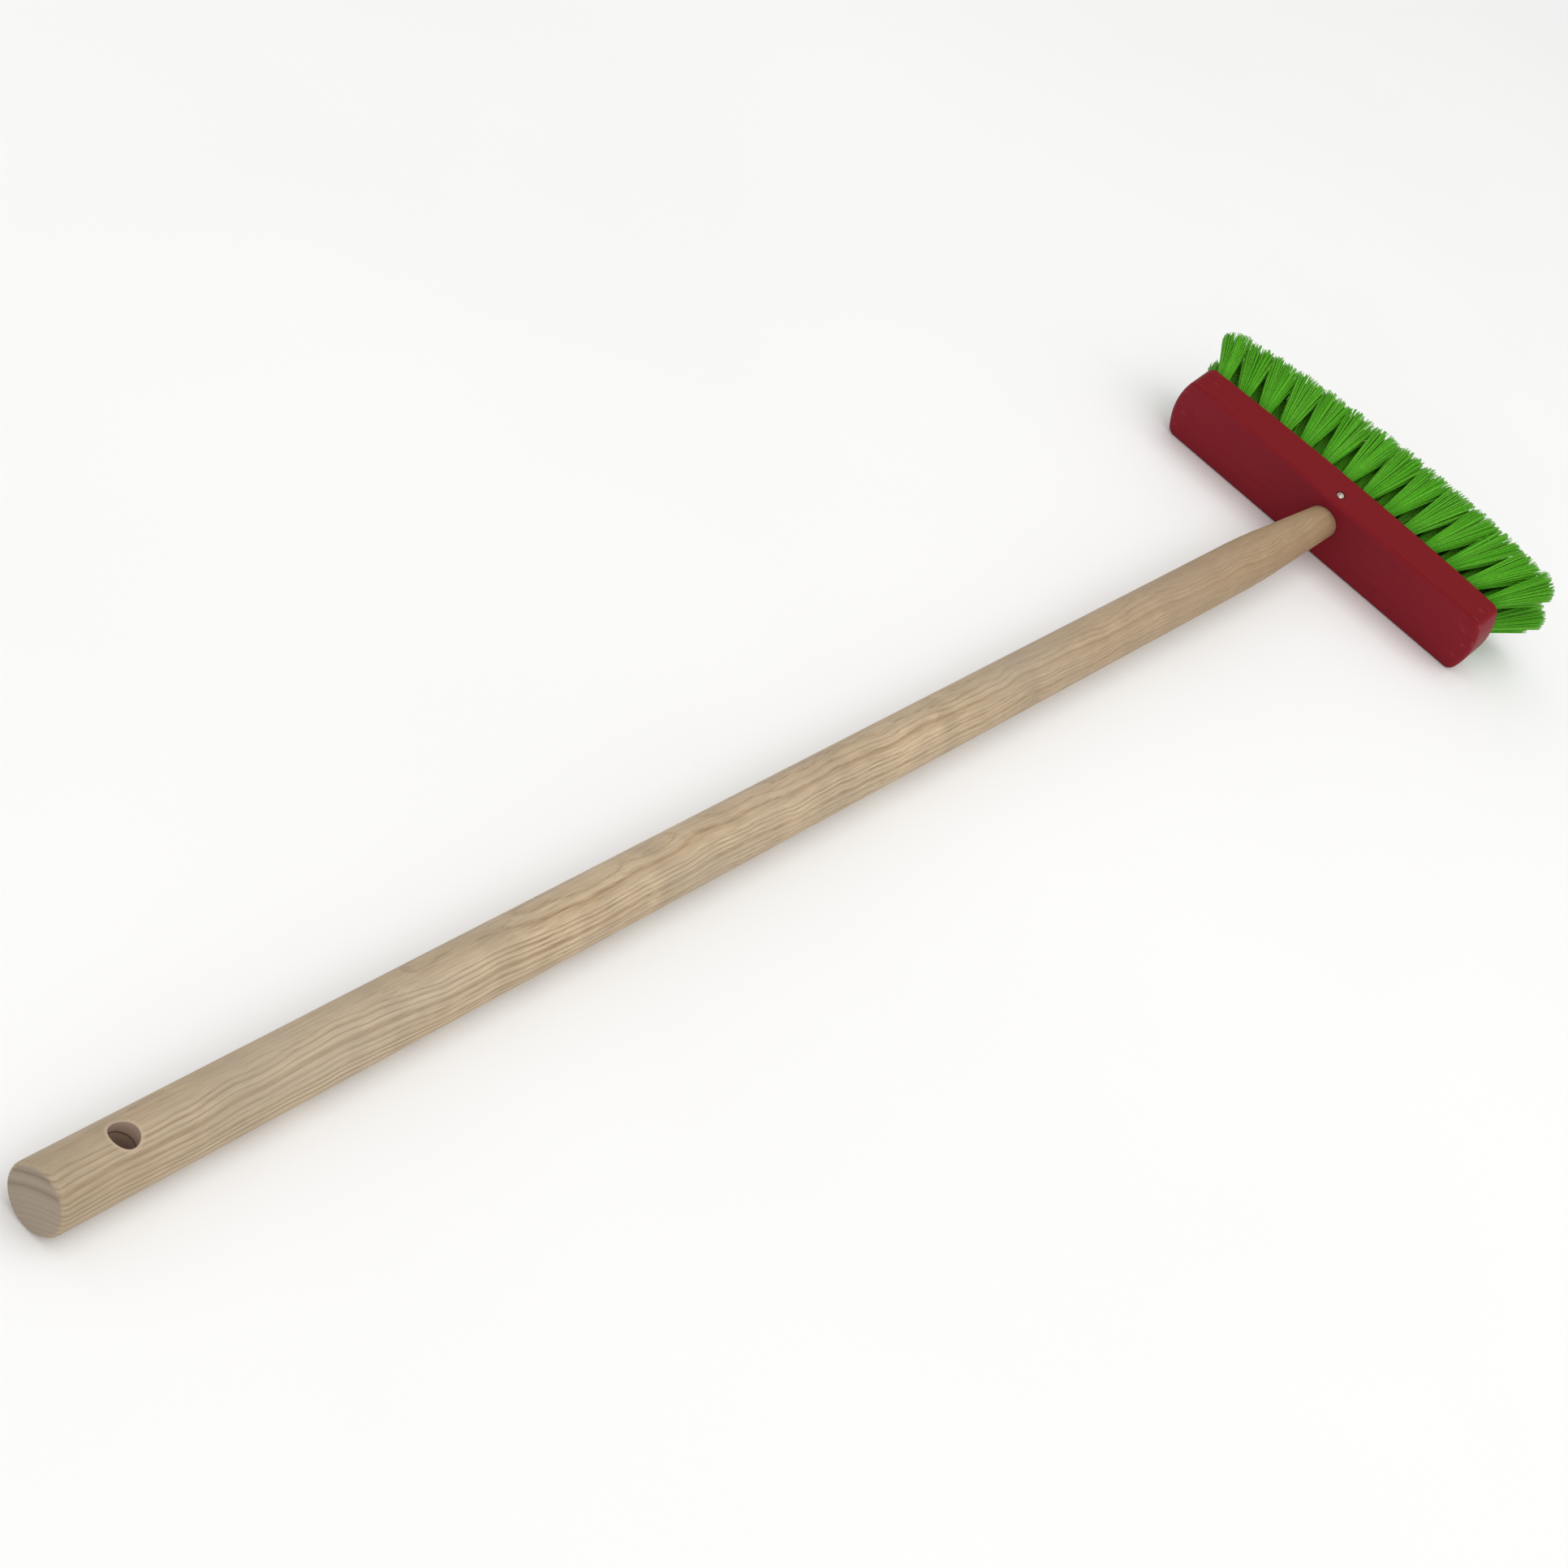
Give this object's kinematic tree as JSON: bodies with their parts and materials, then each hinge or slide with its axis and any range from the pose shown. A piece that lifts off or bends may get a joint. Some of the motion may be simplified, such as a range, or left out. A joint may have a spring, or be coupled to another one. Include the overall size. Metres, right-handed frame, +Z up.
{
  "type": "push broom",
  "caption": "Small push broom with a round wooden handle, a lacquered wooden block set at an angle and fanned rows of bristle tufts, lying on the floor.",
  "frame": {"origin": "on the floor, under the middle of the box that holds the broom as it lies", "axes": "+X along the block, +Y from the grip end to the bristles, +Z up"},
  "size_m": [0.2156, 0.9072, 0.0592],
  "materials": {
    "ash_wood": "sanded ash with a thin dull varnish",
    "red_lacquered_wood": "dark red satin lacquer over wood",
    "green_bristle": "extruded green plastic bristle",
    "nail_steel": "bright steel nail",
    "anchor_wire": "flat steel wire"
  },
  "bodies": {
    "root": {"block": "red_lacquered_wood", "handle": "ash_wood", "handle_nail": "nail_steel", "tuft_a_01": "green_bristle", "tuft_a_02": "green_bristle", "tuft_a_03": "green_bristle", "tuft_a_04": "green_bristle", "tuft_a_05": "green_bristle", "tuft_a_06": "green_bristle", "tuft_a_07": "green_bristle", "tuft_a_08": "green_bristle", "tuft_a_09": "green_bristle", "tuft_a_10": "green_bristle", "tuft_a_11": "green_bristle", "tuft_a_12": "green_bristle", "tuft_a_13": "green_bristle", "tuft_a_14": "green_bristle", "tuft_anchors": "anchor_wire", "tuft_b_01": "green_bristle", "tuft_b_02": "green_bristle", "tuft_b_03": "green_bristle", "tuft_b_04": "green_bristle", "tuft_b_05": "green_bristle", "tuft_b_06": "green_bristle", "tuft_b_07": "green_bristle", "tuft_b_08": "green_bristle", "tuft_b_09": "green_bristle", "tuft_b_10": "green_bristle", "tuft_b_11": "green_bristle", "tuft_b_12": "green_bristle", "tuft_b_13": "green_bristle", "tuft_c_01": "green_bristle", "tuft_c_02": "green_bristle", "tuft_c_03": "green_bristle", "tuft_c_04": "green_bristle", "tuft_c_05": "green_bristle", "tuft_c_06": "green_bristle", "tuft_c_07": "green_bristle", "tuft_c_08": "green_bristle", "tuft_c_09": "green_bristle", "tuft_c_10": "green_bristle", "tuft_c_11": "green_bristle", "tuft_c_12": "green_bristle", "tuft_c_13": "green_bristle", "tuft_c_14": "green_bristle", "tuft_d_01": "green_bristle", "tuft_d_02": "green_bristle", "tuft_d_03": "green_bristle", "tuft_d_04": "green_bristle", "tuft_d_05": "green_bristle", "tuft_d_06": "green_bristle", "tuft_d_07": "green_bristle", "tuft_d_08": "green_bristle", "tuft_d_09": "green_bristle", "tuft_d_10": "green_bristle", "tuft_d_11": "green_bristle", "tuft_d_12": "green_bristle", "tuft_d_13": "green_bristle"}
  },
  "joints": []
}
